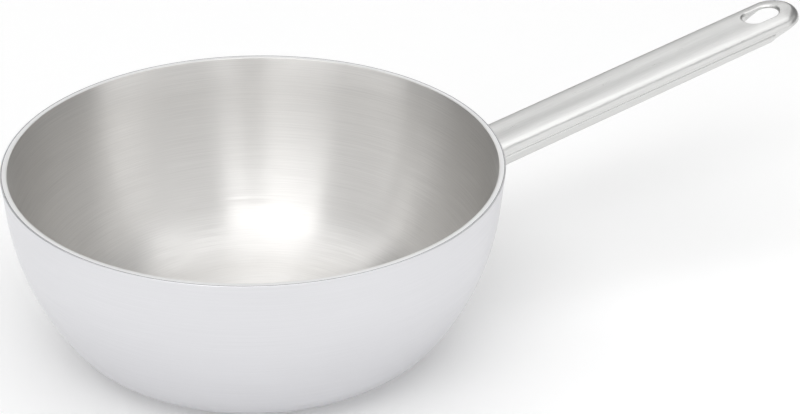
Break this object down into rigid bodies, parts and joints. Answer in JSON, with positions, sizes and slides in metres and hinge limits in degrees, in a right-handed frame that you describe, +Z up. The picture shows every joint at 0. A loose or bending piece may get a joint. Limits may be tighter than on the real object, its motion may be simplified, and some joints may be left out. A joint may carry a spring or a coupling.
{
  "type": "saucier pan",
  "caption": "Deep saucier pan with a flared, round-bottomed bowl of clad steel and one long hollow steel handle with a hanging eye, welded to the wall.",
  "frame": {"origin": "middle of the flat base, on the surface the pan stands on", "axes": "+Z up, +X from the bowl towards the tip of the handle"},
  "size_m": [0.4582, 0.2466, 0.1102],
  "materials": {
    "lining_steel": "brushed in circles round the bowl",
    "magnetic_steel": "fine satin",
    "handle_steel": "satin, smoother along the edges",
    "weld_steel": "smoothed weld bead",
    "bond_aluminium": "ground edge",
    "core_aluminium": "ground edge"
  },
  "bodies": {
    "root": {"cooking_surface_ply": "lining_steel", "inner_bond_ply": "bond_aluminium", "aluminium_core_ply": "core_aluminium", "outer_bond_ply": "bond_aluminium", "outer_magnetic_ply": "magnetic_steel", "handle_upper_shell": "handle_steel", "handle_lower_shell": "handle_steel", "handle_seam_weld": "weld_steel", "handle_root_weld": "weld_steel"}
  },
  "joints": []
}
